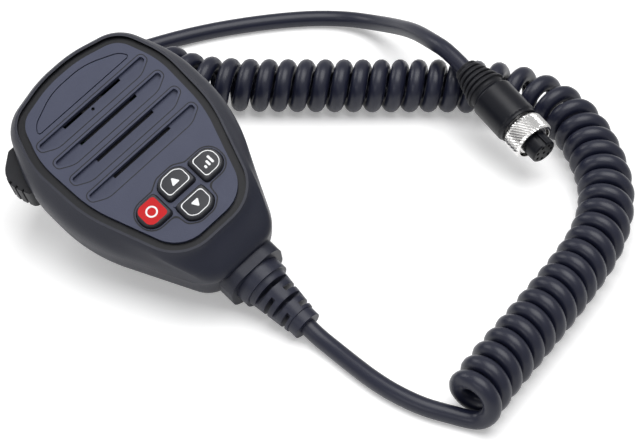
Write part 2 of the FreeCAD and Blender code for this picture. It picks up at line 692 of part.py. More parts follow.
def build_cord():
    """Lead, curly cord and tail, each one unbroken tube, meeting face to face."""
    wire = dim("wire_d")
    steps, turns = coil_steps(coil_axis())
    start, start_way = steps[0]
    end, end_way = steps[-1]
    start_way = Vector(start_way.x, start_way.y, 0).normalize()
    end_way = Vector(end_way.x, end_way.y, 0).normalize()
    steps[0] = (start, start_way)
    steps[-1] = (end, end_way)
    lead_end = start - start_way * wire
    tail_start = end + end_way * wire
    edges = [Part.LineSegment(lead_end, start).toShape()]
    for (a, a_way), (b, b_way) in zip(steps, steps[1:]):
        edges += biarc(a, a_way, b, b_way)
    edges.append(Part.LineSegment(end, tail_start).toShape())
    coil, length = tube(edges, wire / 2, lead_end, start_way)
    ratio = coil.Volume / (math.pi * (wire / 2) ** 2 * length)
    gap = least_gap(edges[1:-1], wire)
    print("curly_cord turns", turns, "length %.1f" % length, "least gap %.2f" % gap, "volume ratio %.3f" % ratio)
    new_solid("curly_cord", coil)
    boot = mic_place(0.0, -dim("collar_end") - dim("boot_long"), dim("boot_height"))
    tip = boot.Base
    away = boot.Rotation.multVec(Vector(0, -1, 0))
    lead = [tuple(tip), tuple(tip + away * 5.0)] + LEAD_ROUTE
    lead += [tuple(lead_end - start_way * 8.0), tuple(lead_end)]
    tube_along("cord_lead", lead)
    plug_start = Vector(*PLUG_START)
    plug_way = (Vector(*PLUG_END) - plug_start).normalize()
    tail = [tuple(tail_start)] + TAIL_ROUTE + [tuple(plug_start - plug_way * 9.0), tuple(plug_start)]
    tube_along("cord_tail", tail)


def plug_place(along=0.0):
    """Placement on the plug, whose Z runs from its cable to its open end."""
    start = Vector(*PLUG_START)
    way = (Vector(*PLUG_END) - start).normalize()
    turn = Rotation(Vector(0, 0, 1), way)
    return Placement(start + way * along, turn)


def build_plug():
    """Round plug: ribbed relief, grip body, barrel, keyed insert, contacts, nut and its ring."""
    wire = dim("wire_d") / 2
    body_r = dim("plug_d") / 2
    barrel = dim("barrel_d") / 2
    thread = dim("thread_d") / 2
    nut_r = dim("nut_d") / 2
    insert = dim("insert_d") / 2
    relief = new_body("plug_strain_relief")
    profile = [(0.0, 0.0), (wire + 1.5, 0.0)]
    for i in range(5):
        z = 1.2 + 2.1 * i
        r = wire + 1.8 + 0.62 * i
        profile += [(r - 0.9, z), (r, z + 0.1), (r + 0.3, z + 1.3), (r - 0.6, z + 1.4)]
    profile += [(body_r - 1.4, 12.0), (body_r - 1.0, 13.0), (0.0, 13.0)]
    turned(relief, "Revolution", polygon(profile))
    relief.Placement = plug_place()
    grip = new_body("plug_body")
    turned(grip, "Revolution", polygon([
        (0.0, 0.0), (body_r - 1.0, 0.0), (body_r, 1.0), (body_r, 13.6), (body_r - 0.5, 14.4),
        (body_r - 0.5, 15.2), (barrel, 15.2), (barrel, 12.0), (0.0, 12.0)]))
    grip.Placement = plug_place(13.0)
    tube_body = new_body("plug_barrel")
    turned(tube_body, "Revolution", polygon([
        (insert, 12.0), (barrel, 12.0), (barrel, 19.6), (barrel + 0.35, 19.7), (barrel + 0.35, 20.4),
        (barrel, 20.5), (barrel, 22.4), (insert, 22.4)]))
    tube_body.Placement = plug_place(13.0)
    core = new_body("plug_insert")
    turned(core, "Revolution", polygon([
        (0.0, 12.0), (insert, 12.0), (insert, 27.6), (insert - 0.4, 28.0), (0.0, 28.0)]))
    spots = [(0.0, 0.0)]
    for i in range(7):
        spots.append((2.9 * math.cos(2 * math.pi * i / 7), 2.9 * math.sin(2 * math.pi * i / 7)))
    extrude(core, "Pocket", [ring(x, y, 0.55) for x, y in spots], 28.5, 6.0)
    extrude(core, "Pocket", box_outline(-0.8, 0.8, insert - 0.9, insert + 1.0), 28.5, 7.0)
    core.Placement = plug_place(13.0)
    contacts = new_body("plug_contacts")
    extrude(contacts, "Pad", [ring(x, y, 0.5) for x, y in spots], 22.5, 4.3)
    contacts.Placement = plug_place(13.0)
    clip = new_body("nut_ring")
    turned(clip, "Revolution", polygon([
        (barrel + 0.05, 0.0), (barrel + 0.75, 0.0), (barrel + 0.75, 0.8), (barrel + 0.05, 0.8)]))
    clip.Placement = plug_place(13.0 + 17.4)
    nut = new_body("coupling_nut")
    turned(nut, "Revolution", polygon([
        (barrel + 0.1, 0.0), (nut_r - 0.5, 0.0), (nut_r, 0.5), (nut_r, dim("nut_long") - 0.5),
        (nut_r - 0.5, dim("nut_long")), (thread, dim("nut_long")), (thread, 2.0),
        (barrel + 0.9, 2.0), (barrel + 0.9, 1.0), (barrel + 0.1, 1.0)]))
    nut.Placement = plug_place(13.0 + 16.2)


def main():
    """Build every sub-part, check it and write it out."""
    front = build_front_shell()
    rear = build_rear_shell()
    place_on_mic(front)
    place_on_mic(rear)
    build_face_pieces()
    build_sound_pieces()
    build_inner_pieces()
    build_hanger()
    build_shell_screws()
    build_ptt()
    build_boot()
    build_cord()
    build_plug()
    doc.recompute()
    faults = [o.Name for o in doc.Objects if "Invalid" in o.State or "Error" in o.State]
    for part in parts:
        if part.Shape.isNull() or not part.Shape.isValid():
            faults.append(part.Label)
    if faults:
        raise RuntimeError("failed: " + ", ".join(faults))
    own = [p for p in parts if not p.Label.startswith(("cord", "curly", "plug", "nut", "coupling"))]
    box = FreeCAD.BoundBox()
    for part in own:
        box.add(part.Shape.optimalBoundingBox())
    print("own box", box)
    os.makedirs("parts", exist_ok=True)
    for part in parts:
        part.Shape.exportStep("parts/%s.step" % part.Label)
    print(len(parts), "sub-parts")


main()
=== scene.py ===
"""Dressed scene of a marine radio's hand microphone with its curly cord and round plug."""

import logging
import math
from dataclasses import dataclass, field
from enum import Enum

import bmesh
import bpy
from mathutils import Matrix, Vector

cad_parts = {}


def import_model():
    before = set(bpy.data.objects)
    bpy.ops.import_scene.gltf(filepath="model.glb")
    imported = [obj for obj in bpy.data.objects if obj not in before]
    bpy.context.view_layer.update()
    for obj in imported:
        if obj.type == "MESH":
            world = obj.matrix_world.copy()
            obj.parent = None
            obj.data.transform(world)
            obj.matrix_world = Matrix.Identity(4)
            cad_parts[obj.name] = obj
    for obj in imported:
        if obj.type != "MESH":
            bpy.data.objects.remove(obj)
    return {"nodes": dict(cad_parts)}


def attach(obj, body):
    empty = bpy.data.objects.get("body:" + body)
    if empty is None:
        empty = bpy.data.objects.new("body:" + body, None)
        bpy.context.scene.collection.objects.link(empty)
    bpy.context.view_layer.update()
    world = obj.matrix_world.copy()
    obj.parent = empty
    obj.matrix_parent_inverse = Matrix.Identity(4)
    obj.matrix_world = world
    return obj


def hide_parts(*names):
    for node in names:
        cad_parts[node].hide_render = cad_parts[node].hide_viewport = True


log = logging.getLogger("microphone")

MM = 0.001
Point = tuple[float, float, float]
# A corner of an outline: its place and its rounding.
Corner = tuple[float, float, float]

# The microphone's own axes in the row frame: X its right side, Y its top, Z out of its face.
MIC = (
    Matrix.Translation((6.18 * MM, 22.83 * MM, 15.5 * MM))
    @ Matrix.Rotation(math.radians(15.7), 4, "X")
    @ Matrix.Rotation(math.radians(-20.6), 4, "Y")
)
# Height of the face panel, and how a printed or scribed line lies in a surface.
FACE = 29.3
PRINT_SUNK = 0.02
SCRIBE_SUNK = 0.05
SCRIBE_PROUD = 0.012
# Strain relief: where the collar ends, its height and its length beyond the collar.
COLLAR_END = 55.0
BOOT_HEIGHT = 11.2
BOOT_LONG = 22.0

PLUG_START = Vector((109.8, -23.3, 23.0)) * MM
PLUG_END = Vector((102.7, -64.2, 15.0)) * MM

# The same route points as the solid cord, in millimetres.
LEAD_ROUTE: list[Point] = [
    (2.2, -65.7, 2.8), (1.7, -73.7, 2.8), (1.4, -81.7, 2.8), (1.9, -90.2, 2.8),
]
COIL_ROUTE: list[Point] = [
    (9.5, -112.0, 9.1), (19.4, -109.4, 9.1), (42.9, -105.9, 9.1), (66.9, -101.9, 9.1),
    (88.9, -96.9, 9.1), (106.9, -86.9, 9.1), (119.9, -71.4, 9.1), (128.9, -53.4, 9.1),
    (127.9, -33.4, 9.1), (114.9, -16.4, 9.1), (96.9, 2.1, 9.1), (77.9, 22.1, 9.1), (61.9, 39.1, 9.1),
    (53.4, 51.6, 9.1), (50.9, 66.6, 9.1), (39.9, 75.6, 9.1), (28.4, 70.6, 9.1), (25.9, 57.6, 9.1),
    (27.4, 44.6, 9.1), (24.4, 33.6, 9.1), (17.4, 25.1, 9.1),
]
TAIL_ROUTE: list[Point] = [
    (4.9, 33.6, 2.8), (-3.6, 42.1, 2.8), (-7.6, 53.6, 2.8), (-5.2, 64.8, 2.8), (3.3, 74.6, 2.8),
    (14.1, 82.0, 2.8), (27.9, 87.1, 2.8), (43.9, 86.1, 2.8), (60.9, 81.6, 2.8), (79.9, 73.6, 2.8),
    (97.4, 63.1, 2.8), (111.9, 52.1, 2.8), (120.9, 41.6, 3.2), (123.4, 30.6, 6.0), (121.4, 18.6, 12.0),
    (116.9, 5.6, 19.5), (112.2, -7.4, 24.2),
]


class Grain(Enum):
    """How a surface was made, which gives its fine relief."""

    SPARK_ERODED = "spark eroded mould"
    BRUSHED = "brushed"
    WOVEN = "woven"
    POLISHED = "polished"


def linear(code: str) -> tuple[float, float, float, float]:
    """Turn an sRGB hex colour into the linear colour that a socket takes.

    Args:
        code: Colour as "#RRGGBB".

    Returns:
        Red, green, blue and alpha.
    """
    parts = [int(code[i:i + 2], 16) / 255 for i in (1, 3, 5)]
    return tuple(c / 12.92 if c <= 0.04045 else ((c + 0.055) / 1.055) ** 2.4 for c in parts) + (1.0,)


def add_node(tree: bpy.types.NodeTree, kind: str, sockets: dict | None = None, **settings) -> bpy.types.Node:
    """Add one shader node.

    Args:
        tree: Node tree that gets the node.
        kind: Blender's name of the node type.
        sockets: Values or output sockets for the node's inputs, by name or number.
        settings: Attributes of the node itself.

    Returns:
        The new node.
    """
    node = tree.nodes.new(kind)
    for name, value in settings.items():
        setattr(node, name, value)
    for name, value in (sockets or {}).items():
        if isinstance(value, bpy.types.NodeSocket):
            tree.links.new(value, node.inputs[name])
        else:
            node.inputs[name].default_value = value
    return node


@dataclass(frozen=True)
class Finish:
    """A material with the relief, colour play and sheen of one real finish."""

    name: str
    colour: str
    shade: str
    roughness: float
    grain_mm: float
    relief_mm: float
    grain: Grain = Grain.SPARK_ERODED
    metallic: float = 0.0
    coat: float = 0.0
    sheen: float = 0.0
    specular: float = 0.35

    def make(self) -> bpy.types.Material:
        """Build the material once and hand it out again after that.

        Returns:
            The Blender material.
        """
        known = bpy.data.materials.get(self.name)
        if known:
            return known
        material = bpy.data.materials.new(self.name)
        material.use_nodes = True
        tree = material.node_tree
        tree.nodes.clear()
        place = add_node(tree, "ShaderNodeTexCoord").outputs["Object"]
        if self.grain is Grain.BRUSHED:
            stretch = (1.0, 1.0, 0.06)
            place = add_node(tree, "ShaderNodeMapping", {"Vector": place, "Scale": stretch}).outputs[0]
        fine = self.relief(tree, place)
        cloud = add_node(tree, "ShaderNodeTexNoise", {
            "Vector": place, "Scale": 1 / (9 * MM), "Detail": 3.0, "Roughness": 0.6}).outputs[0]
        share = add_node(tree, "ShaderNodeMath", {0: fine, 1: 0.35}, operation="MULTIPLY").outputs[0]
        play = add_node(tree, "ShaderNodeMath", {0: cloud, 1: 0.55, 2: share}, operation="MULTIPLY_ADD")
        colour = add_node(tree, "ShaderNodeMix", {
            0: play.outputs[0], 6: linear(self.colour), 7: linear(self.shade)}, data_type="RGBA").outputs[2]
        rough = add_node(tree, "ShaderNodeMapRange", {
            "Value": play.outputs[0], "To Min": max(self.roughness - 0.07, 0.04),
            "To Max": self.roughness + 0.07}).outputs[0]
        bump = add_node(tree, "ShaderNodeBump", {
            "Height": fine, "Strength": 1.0, "Distance": self.relief_mm * MM}).outputs[0]
        surface = add_node(tree, "ShaderNodeBsdfPrincipled", {
            "Base Color": colour, "Roughness": rough, "Normal": bump, "Metallic": self.metallic,
            "Coat Weight": self.coat, "Coat Roughness": 0.25, "Sheen Weight": self.sheen,
            "Specular IOR Level": 0.5 if self.metallic else self.specular})
        add_node(tree, "ShaderNodeOutputMaterial", {"Surface": surface.outputs[0]})
        return material

    def relief(self, tree: bpy.types.NodeTree, place: bpy.types.NodeSocket) -> bpy.types.NodeSocket:
        """Add the nodes of the fine relief.

        Args:
            tree: Node tree of the material.
            place: Coordinates in metres.

        Returns:
            Socket with the relief's height from 0 to 1.
        """
        scale = 1 / (self.grain_mm * MM)
        if self.grain is Grain.WOVEN:
            threads = [
                add_node(tree, "ShaderNodeTexWave", {"Vector": place, "Scale": scale / 6.3},
                         bands_direction=way).outputs["Fac"] for way in ("X", "Y")
            ]
            return add_node(tree, "ShaderNodeMath", {0: threads[0], 1: threads[1]},
                            operation="MAXIMUM").outputs[0]
        return add_node(tree, "ShaderNodeTexNoise", {
            "Vector": place, "Scale": scale, "Detail": 2.0, "Roughness": 0.55}).outputs[0]


# Glass-filled ABS from a spark-eroded mould: no gloss, a faint sparkle of fine pits.
SHELL_ABS = Finish("moulded_abs_shell", "#1D202F", "#151723", 0.46, 0.45, 0.035, specular=0.32)
# The same plastic in a lighter blue-grey batch on the face.
PANEL_ABS = Finish("moulded_abs_face", "#41455A", "#373B4D", 0.52, 0.45, 0.035, specular=0.3)
# Painted shade: the deep channel round the face and the lines in the grooves round the slots and keys are
# coloured near black for the shade that falls in them. The mould was left smoother there.
SHADE_PAINTED_ABS = Finish("abs_painted_shade", "#101117", "#0B0C11", 0.4, 0.5, 0.02, specular=0.2)
# Silicone rubber keys: satin, soft edges, a little dust in the pores.
KEY_RUBBER = Finish("silicone_rubber_key", "#1C1E26", "#15161D", 0.45, 0.3, 0.015, sheen=0.05)
RED_RUBBER = Finish("silicone_rubber_red", "#CC1219", "#B80F16", 0.5, 0.3, 0.015, specular=0.2)
INK = Finish("screen_print_white", "#F4F5F6", "#E6E8EA", 0.5, 0.4, 0.008)
# Thermoplastic elastomer of the talk bar and strain reliefs, matt black.
GRIP_RUBBER = Finish("elastomer_grip", "#14151C", "#0E0F14", 0.5, 0.4, 0.03, sheen=0.03, specular=0.25)
BOOT_RUBBER = Finish("elastomer_boot", "#222537", "#191B29", 0.42, 0.5, 0.02)
# Polyurethane cord jacket: smooth extrusion with a satin skin.
CORD_JACKET = Finish("polyurethane_jacket", "#1D2032", "#151727", 0.38, 0.8, 0.008, coat=0.08)
PLUG_PLASTIC = Finish("nylon_plug", "#0E1019", "#090A11", 0.36, 0.6, 0.008, specular=0.25)
NICKEL = Finish("nickel_plate", "#EEEDEC", "#DAD9D8", 0.18, 0.5, 0.004, Grain.POLISHED, metallic=1.0)
STEEL = Finish("brushed_steel", "#B9BABD", "#9C9DA0", 0.32, 0.12, 0.006, Grain.BRUSHED, metallic=1.0)
GOLD = Finish("gold_plate", "#E0B968", "#CFA653", 0.2, 0.4, 0.003, Grain.POLISHED, metallic=1.0)
BOARD = Finish("solder_mask_board", "#1E5A34", "#174A2A", 0.4, 0.6, 0.02, coat=0.3)
CLOTH = Finish("woven_speaker_cloth", "#17181C", "#08080A", 0.85, 0.35, 0.08, Grain.WOVEN)
CONE = Finish("pressed_paper_cone", "#2A2A2C", "#1C1C1E", 0.8, 0.5, 0.05)
INNER = Finish("black_nylon", "#1B1B1D", "#131315", 0.45, 0.4, 0.02)
SEAL = Finish("black_silicone_seal", "#131315", "#0E0E10", 0.6, 0.4, 0.02)

NODE_FINISHES: dict[str, Finish] = {
    "key_mat": SEAL, "housing_seal": SEAL, "speaker_gasket": SEAL, "capsule_boot": SEAL,
    "dome_switches": STEEL, "key_board": BOARD, "circuit_board": BOARD, "board_header": INNER,
    "speaker_cloth": CLOTH, "speaker_frame": STEEL, "speaker_cone": CONE, "speaker_magnet": STEEL,
    "mic_capsule": CLOTH, "ptt_pin": STEEL, "ptt_switch": INNER, "hanger_screw": STEEL,
    "shell_screws": STEEL, "cable_clamp": STEEL, "plug_contacts": GOLD, "nut_ring": NICKEL,
}


def only(obj: bpy.types.Object) -> bpy.types.Object:
    """Select and activate one object alone.

    Args:
        obj: The object.

    Returns:
        The same object.
    """
    bpy.ops.object.select_all(action="DESELECT")
    obj.select_set(True)
    bpy.context.view_layer.objects.active = obj
    return obj


def settle(obj: bpy.types.Object, place: Matrix) -> bpy.types.Object:
    """Bake a placement into a piece's mesh, which leaves its object at the origin.

    Args:
        obj: Piece whose mesh is in its own axes.
        place: Where those axes stand in the row frame.

    Returns:
        The same piece.
    """
    obj.data.transform(place @ obj.matrix_world)
    obj.matrix_world = Matrix.Identity(4)
    obj.data.update()
    return obj


def modify(obj: bpy.types.Object, kind: str, **settings) -> None:
    """Add a modifier with its settings and apply it at once.

    Args:
        obj: Piece that gets the modifier.
        kind: Blender's name of the modifier type.
        settings: Attributes of the modifier.
    """
    modifier = obj.modifiers.new(kind.lower(), kind)
    for name, value in settings.items():
        setattr(modifier, name, value)
    only(obj)
    bpy.ops.object.modifier_apply(modifier=modifier.name)


def hand_in(obj: bpy.types.Object, name: str, finish: Finish, body: str, slot: str,
            *nodes: str) -> bpy.types.Object:
    """Name, dress and mount a finished piece.

    Args:
        obj: The piece.
        name: Its name.
        finish: Its material, unless it has materials already.
        body: CAD body that carries it.
        slot: Material slot that the piece stands for; not used.
        nodes: CAD nodes that it stands for.

    Returns:
        The same piece.
    """
    obj.name = name
    obj.data.name = name
    if not obj.data.materials:
        obj.data.materials.append(finish.make())
    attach(obj, body)
    if nodes:
        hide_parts(*nodes)
    log.info("%s on %s", name, body)
    return obj


def softened(node: str, width_mm: float, segments: int = 2, angle: float = 32.0) -> bpy.types.Object:
    """Copy a CAD node, join its loose triangles and round its edges as a mould does.

    Args:
        node: CAD node to copy.
        width_mm: Width of the rounding.
        segments: Steps in the rounding.
        angle: Least turn between faces, in degrees, that counts as an edge.

    Returns:
        The new piece, with its place in its mesh.
    """
    source = frame["nodes"][node]
    obj = bpy.data.objects.new(node + "_copy", source.data.copy())
    bpy.context.scene.collection.objects.link(obj)
    obj.data.transform(source.matrix_world)
    obj.data.materials.clear()
    only(obj)
    bpy.ops.object.mode_set(mode="EDIT")
    bpy.ops.mesh.select_all(action="SELECT")
    bpy.ops.mesh.remove_doubles(threshold=2e-6)
    bpy.ops.mesh.dissolve_limited(angle_limit=math.radians(0.6))
    bpy.ops.object.mode_set(mode="OBJECT")
    modify(obj, "BEVEL", width=width_mm * MM, segments=segments, limit_method="ANGLE",
           angle_limit=math.radians(angle), use_clamp_overlap=True, loop_slide=False)
    only(obj)
    bpy.ops.object.shade_smooth_by_angle(angle=math.radians(35))
    modify(obj, "WEIGHTED_NORMAL", keep_sharp=True, weight=60)
    return obj


def moved_in(corners: list[Corner], inset: float) -> list[Corner]:
    """Corners of a counter-clockwise outline, moved inwards.

    Args:
        corners: Each corner's place and rounding, in millimetres.
        inset: Distance, which may be negative.

    Returns:
        The moved corners.
    """
    moved = []
    for i, (x, y, radius) in enumerate(corners):
        here = Vector((x, y))
        come = (here - Vector(corners[i - 1][:2])).normalized()
        leave = (Vector(corners[(i + 1) % len(corners)][:2]) - here).normalized()
        inward = Vector((-come.y - leave.y, come.x + leave.x)).normalized()
        spot = here + inward * (inset / inward.dot(Vector((-come.y, come.x))))
        moved.append((spot.x, spot.y, max(radius - inset, 0.3)))
    return moved


def rounded(corners: list[Corner], inset: float = 0.0, steps: int = 6) -> list[Vector]:
    """Points round an outline with rounded corners.

    Args:
        corners: Each corner's place and rounding, in millimetres.
        inset: Distance that the outline moves inwards.
        steps: Points along each rounding, less one.

    Returns:
        Points in millimetres, counter-clockwise.
    """
    corners = moved_in(corners, inset)
    points = []
    for i, (x, y, radius) in enumerate(corners):
        here = Vector((x, y))
        come = (here - Vector(corners[i - 1][:2])).normalized()
        leave = (Vector(corners[(i + 1) % len(corners)][:2]) - here).normalized()
        turn = come.angle(leave)
        cut = radius * math.tan(turn / 2)
        start, end = here - come * cut, here + leave * cut
        for k in range(steps + 1):
            t = k / steps
            weight = math.cos(turn / 2)
            base = (1 - t) ** 2 + 2 * weight * t * (1 - t) + t ** 2
            points.append((start * (1 - t) ** 2 + here * (2 * weight * t * (1 - t)) + end * t ** 2) / base)
    return points


def encloses(outline: list[Vector], spot: Vector) -> bool:
    """Whether a bulging counter-clockwise outline holds a point."""
    sides = zip(outline, outline[1:] + outline[:1])
    return all((b - a).cross(spot.to_2d() - a) >= 0 for a, b in sides)


def plaque(points: list[Vector], low: float) -> bpy.types.Object:
    """Add a round face and set its rim on an outline.

    Args:
        points: Outline in millimetres.
        low: Height of the face.

    Returns:
        The flat piece, active and alone selected, in the microphone's axes.
    """
    bpy.ops.object.select_all(action="DESELECT")
    bpy.ops.mesh.primitive_circle_add(vertices=len(points), radius=MM, fill_type="NGON")
    obj = bpy.context.object
    for vertex, point in zip(obj.data.vertices, points):
        vertex.co = (point.x * MM, point.y * MM, low * MM)
    obj.data.update()
    bpy.ops.object.mode_set(mode="EDIT")
    bpy.ops.mesh.select_all(action="SELECT")
    bpy.ops.mesh.normals_make_consistent(inside=False)
    bpy.ops.object.mode_set(mode="OBJECT")
    if obj.data.polygons[0].normal.z < 0:
        obj.data.flip_normals()
    return obj


def raise_face(height: float) -> None:
    """Extrude the selected faces upwards by a height in millimetres, in edit mode."""
    bpy.ops.mesh.extrude_region_move(TRANSFORM_OT_translate={"value": (0, 0, height * MM)})


def block(points: list[Vector], low: float, high: float, edge: float = 0.0) -> bpy.types.Object:
    """Solid with an outline, raised and rounded at the top.

    Args:
        points: Outline in millimetres.
        low: Height of its underside.
        high: Height of its top.
        edge: Rounding of its top edge.

    Returns:
        The piece in the microphone's axes.
    """
    obj = plaque(points, low)
    bpy.ops.object.mode_set(mode="EDIT")
    bpy.ops.mesh.select_mode(type="FACE")
    bpy.ops.mesh.select_all(action="SELECT")
    raise_face(high - low)
    if edge:
        bpy.ops.mesh.bevel(offset=edge * MM, segments=4, affect="EDGES")
    bpy.ops.mesh.select_all(action="SELECT")
    bpy.ops.mesh.normals_make_consistent(inside=False)
    bpy.ops.object.mode_set(mode="OBJECT")
    return obj


def band(outer: list[Vector], inner: list[Vector], low: float, high: float) -> bpy.types.Object:
    """Raised or printed line between two outlines with equal point counts.

    Args:
        outer: Outer outline in millimetres.
        inner: Inner outline in millimetres.
        low: Height of its underside.
        high: Height of its top.

    Returns:
        The piece in the microphone's axes.
    """
    obj = plaque(outer, high)
    bpy.ops.object.mode_set(mode="EDIT")
    bpy.ops.mesh.select_mode(type="FACE")
    bpy.ops.mesh.select_all(action="SELECT")
    bpy.ops.mesh.inset(thickness=0.01 * MM)
    mesh = bmesh.from_edit_mesh(obj.data)
    chosen = [face for face in mesh.faces if face.select]
    for vertex in chosen[0].verts[:]:
        spot = vertex.co.to_2d()
        nearest = min(range(len(outer)), key=lambda i: (spot - outer[i] * MM).length)
        vertex.co = (inner[nearest].x * MM, inner[nearest].y * MM, high * MM)
    bmesh.ops.delete(mesh, geom=chosen, context="FACES")
    bmesh.update_edit_mesh(obj.data)
    bpy.ops.mesh.select_all(action="SELECT")
    raise_face(low - high)
    bpy.ops.mesh.select_all(action="SELECT")
    bpy.ops.mesh.normals_make_consistent(inside=False)
    bpy.ops.object.mode_set(mode="OBJECT")
    return obj


def joined(objs: list[bpy.types.Object]) -> bpy.types.Object:
    """Join pieces into one.

    Args:
        objs: The pieces.

    Returns:
        The first piece, which now holds them all.
    """
    bpy.ops.object.select_all(action="DESELECT")
    for obj in objs:
        obj.select_set(True)
    bpy.context.view_layer.objects.active = objs[0]
    bpy.ops.object.join()
    return objs[0]


def mirrored(right_side: list[Corner]) -> list[Corner]:
    """Whole counter-clockwise corner list from its right half, bottom to top."""
    return right_side + [(-x, y, r) for x, y, r in reversed(right_side)]


@dataclass
class Casing:
    """Two shells, name plate and the fine lines of the face, which are dark with painted shade."""

    face_wide: float = 27.2
    face_top: float = 32.6
    face_chin: float = 41.9
    slot_half: float = 21.2
    slot_wide: float = 4.2
    slot_tops: tuple[float, ...] = (17.6, 9.9, 2.2, -5.5)
    line_out: float = 1.0
    line_in: float = 0.68
    recess_height: float = 27.9
    rim_height: float = 29.35
    lip_inset: float = 0.5
    panel_inset: float = 2.2

    def face_corners(self) -> list[Corner]:
        """Outline of the lip round the face.

        Returns:
            Its corners.
        """
        wide = self.face_wide
        return mirrored([
            (0.56 * wide, -self.face_chin, 15.0), (0.98 * wide, -9.6, 48.0), (1.02 * wide, 13.5, 33.0),
            (0.82 * wide, 0.91 * self.face_top, 11.3), (0.236 * wide, self.face_top + 1.3, 39.0),
        ])

    def slot_corners(self, top: float, grow: float) -> list[Corner]:
        """Corners of one leaf-shaped slot.

        Args:
            top: Place of its straight upper edge on the face.
            grow: Distance that it grows by.

        Returns:
            Its corners.
        """
        reach = self.slot_half
        low = top - self.slot_wide
        tip = top - 0.45 * self.slot_wide
        return moved_in([
            (-0.8 * reach, low, 6.0), (0.8 * reach, low, 6.0), (reach, tip, 0.8),
            (reach, top, 0.8), (-reach, top, 0.8), (-reach, tip, 0.8),
        ], -grow)

    def build(self) -> None:
        """Make the shells, the plate and the face's lines."""
        front = softened("front_shell", 0.22)
        self.dress_front(front)
        hand_in(front, "front_case", SHELL_ABS, "housing", "casing", "front_shell")
        hand_in(softened("rear_shell", 0.5, 3), "rear_case", SHELL_ABS, "housing", "casing", "rear_shell")
        hand_in(softened("name_plate", 0.12), "blank_plate", PANEL_ABS, "housing", "plate", "name_plate")
        # Dark bands round each slot: painted shade along the slots' rims.
        lines = []
        for top in self.slot_tops:
            outer, inner = (rounded(self.slot_corners(top, grow)) for grow in (self.line_out, self.line_in))
            lines.append(band(outer, inner, FACE - SCRIBE_SUNK, FACE + SCRIBE_PROUD))
        hand_in(settle(joined(lines), MIC), "slot_painted_shade", SHADE_PAINTED_ABS, "housing", "casing")

    def dress_front(self, front: bpy.types.Object) -> None:
        """Give the shell and the face panel their own finishes, and the channel round the panel its painted
        shade.

        Args:
            front: The front shell's piece.
        """
        for finish in (SHELL_ABS, PANEL_ABS, SHADE_PAINTED_ABS):
            front.data.materials.append(finish.make())
        lip = rounded(self.face_corners(), self.lip_inset)
        panel = rounded(self.face_corners(), self.panel_inset)
        back = MIC.inverted()
        spots = [back @ vertex.co / MM for vertex in front.data.vertices]
        high = [self.recess_height < spot.z for spot in spots]
        on_panel = [up and encloses(panel, spot) for up, spot in zip(high, spots)]
        in_shaded_channel = [up and spot.z < self.rim_height and encloses(lip, spot) for up, spot in zip(high, spots)]
        for face in front.data.polygons:
            if all(on_panel[i] for i in face.vertices):
                face.material_index = 1
            # Channel faces inside the lip get the near-black painted shade.
            elif all(in_shaded_channel[i] for i in face.vertices):
                face.material_index = 2


